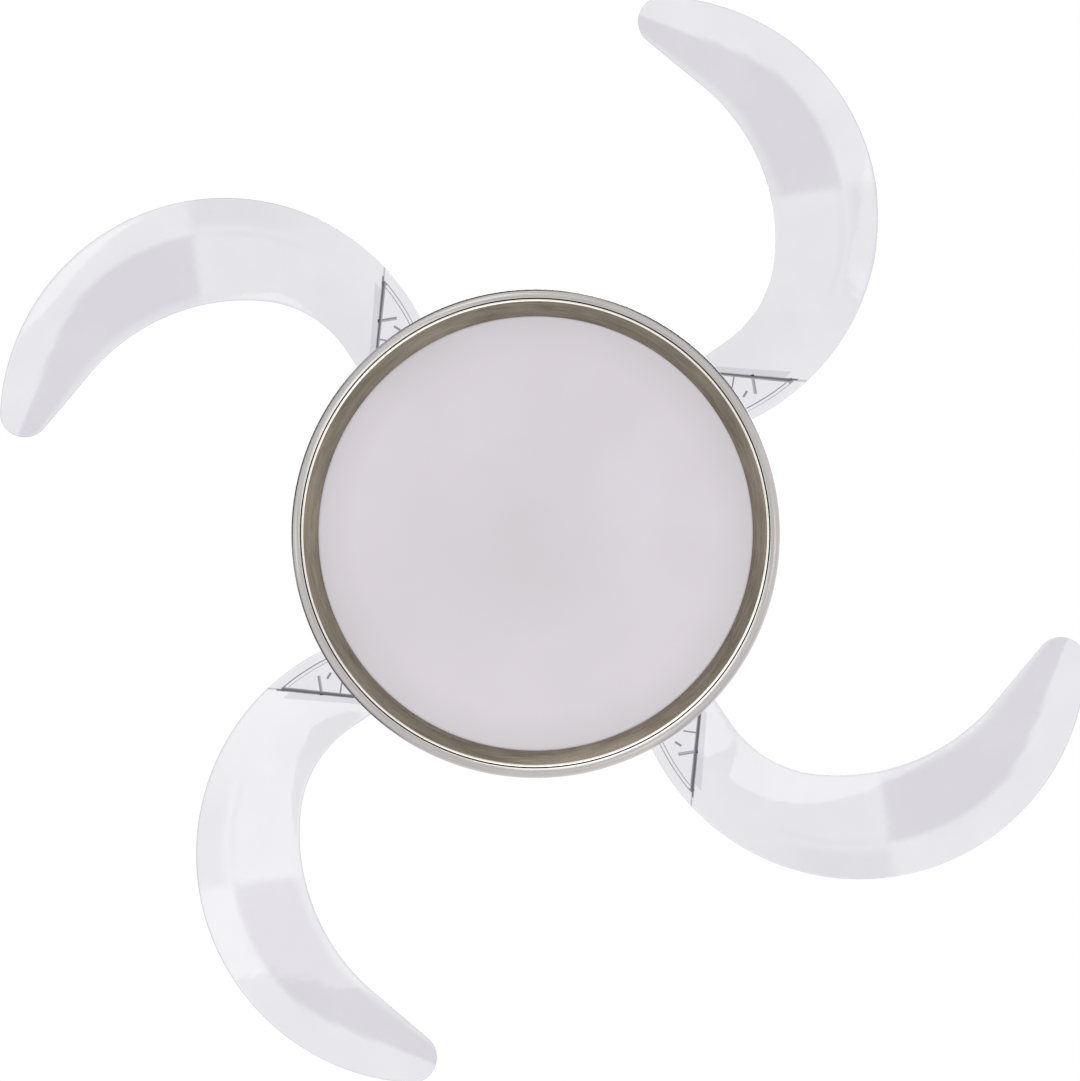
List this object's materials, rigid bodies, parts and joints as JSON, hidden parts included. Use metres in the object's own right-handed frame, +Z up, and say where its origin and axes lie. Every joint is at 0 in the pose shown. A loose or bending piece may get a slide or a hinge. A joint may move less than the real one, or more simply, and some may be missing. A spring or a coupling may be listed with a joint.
{
  "type": "retractable blade ceiling fan",
  "caption": "Ceiling fan on a short downrod with clear sickle-shaped blades that fold away over a round LED light drum.",
  "frame": {"origin": "on the fan's axis, in the plane of the ceiling, at the middle of the bracket's top face", "axes": "+Z up along the fan's axis; seen from below with +X to the right and +Y down the picture, blade 1 is at the upper left"},
  "size_m": [1.0346, 1.0346, 0.3011],
  "materials": {
    "brushed_nickel": "brushed, warm grey",
    "steel": "plain machined",
    "zinc_steel": "zinc plated",
    "cast_aluminium": "as cast",
    "sheet_aluminium": "rolled sheet",
    "white_paint": "satin",
    "board_enamel": "white solder mask on an aluminium core",
    "white_plastic": "moulded",
    "clear_plastic": "clear, polished",
    "opal_plastic": "opal, matt",
    "nylon": "moulded",
    "dark_plastic": "moulded",
    "magnet": "sintered",
    "copper": "enamelled wire",
    "spring_steel": "drawn wire",
    "cable_sheath": "matt"
  },
  "bodies": {
    "mount": {"ceiling_bracket": "zinc_steel", "canopy": "brushed_nickel", "canopy_screw_1": "steel", "canopy_screw_2": "steel", "receiver_box": "dark_plastic"},
    "liner": {"ball_liner": "nylon"},
    "hanger": {"hanger_ball": "steel", "downrod": "brushed_nickel", "hanger_pin": "steel", "coupling_cover": "brushed_nickel", "motor_yoke": "zinc_steel", "yoke_pin": "steel", "motor_cover": "brushed_nickel", "motor_shaft": "steel", "stator_core": "steel", "stator_winding": "copper", "cover_screw_1": "steel", "cover_screw_2": "steel", "light_pan": "white_paint", "shaft_nut": "steel", "led_board": "board_enamel", "led_driver": "white_plastic", "trim_ring": "brushed_nickel", "diffuser": "opal_plastic", "supply_cable": "cable_sheath", "trim_screw_1": "steel", "trim_screw_2": "steel", "trim_screw_3": "steel"},
    "rotor": {"rotor_shell_upper": "cast_aluminium", "rotor_shell_lower": "cast_aluminium", "magnet_ring": "magnet", "upper_bearing": "steel", "lower_bearing": "steel", "blade_tray": "sheet_aluminium", "pivot_post_1": "steel", "pivot_post_2": "steel", "pivot_post_3": "steel", "pivot_post_4": "steel", "return_spring_1": "spring_steel", "return_spring_2": "spring_steel", "return_spring_3": "spring_steel", "return_spring_4": "spring_steel"},
    "sync": {"sync_ring": "nylon"},
    "blade_arm_1": {"blade_1": "clear_plastic", "blade_hub_1": "nylon", "root_screw_1_1": "steel", "root_screw_1_2": "steel"},
    "blade_arm_2": {"blade_2": "clear_plastic", "blade_hub_2": "nylon", "root_screw_2_1": "steel", "root_screw_2_2": "steel"},
    "blade_arm_3": {"blade_3": "clear_plastic", "blade_hub_3": "nylon", "root_screw_3_1": "steel", "root_screw_3_2": "steel"},
    "blade_arm_4": {"blade_4": "clear_plastic", "blade_hub_4": "nylon", "root_screw_4_1": "steel", "root_screw_4_2": "steel"}
  },
  "joints": [
    {"name": "hanger_tilt_x", "type": "hinge", "parent": "mount", "child": "liner", "pos_m": [0, 0, -0.04], "axis": [1, 0, 0], "range_deg": [-12, 12]},
    {"name": "hanger_tilt_y", "type": "hinge", "parent": "liner", "child": "hanger", "pos_m": [0, 0, -0.04], "axis": [0, 1, 0], "range_deg": [-12, 12]},
    {"name": "rotor_spin", "type": "hinge", "parent": "hanger", "child": "rotor", "pos_m": [0, 0, -0.22], "axis": [0, 0, 1], "continuous": true},
    {"name": "sync_turn", "type": "hinge", "parent": "rotor", "child": "sync", "pos_m": [0, 0, -0.2463], "axis": [0, 0, 1], "range_deg": [0, 30]},
    {"name": "blade_fold_1", "type": "hinge", "parent": "rotor", "child": "blade_arm_1", "pos_m": [-0.12039, -0.14047, -0.238], "axis": [0, 0, -1], "range_deg": [0, 120], "stiffness_Nm_per_rad": 0.03, "springref_deg": 160.43},
    {"name": "blade_fold_2", "type": "hinge", "parent": "rotor", "child": "blade_arm_2", "pos_m": [0.14047, -0.12039, -0.238], "axis": [0, 0, -1], "range_deg": [0, 120], "stiffness_Nm_per_rad": 0.03, "springref_deg": 160.43},
    {"name": "blade_fold_3", "type": "hinge", "parent": "rotor", "child": "blade_arm_3", "pos_m": [0.12039, 0.14047, -0.238], "axis": [0, 0, -1], "range_deg": [0, 120], "stiffness_Nm_per_rad": 0.03, "springref_deg": 160.43},
    {"name": "blade_fold_4", "type": "hinge", "parent": "rotor", "child": "blade_arm_4", "pos_m": [-0.14047, 0.12039, -0.238], "axis": [0, 0, -1], "range_deg": [0, 120], "stiffness_Nm_per_rad": 0.03, "springref_deg": 160.43}
  ],
  "couplings": [
    {"joint": "sync_turn", "follows": "blade_fold_1", "ratio": 0.25},
    {"joint": "blade_fold_2", "follows": "blade_fold_1", "ratio": 1},
    {"joint": "blade_fold_3", "follows": "blade_fold_1", "ratio": 1},
    {"joint": "blade_fold_4", "follows": "blade_fold_1", "ratio": 1}
  ]
}
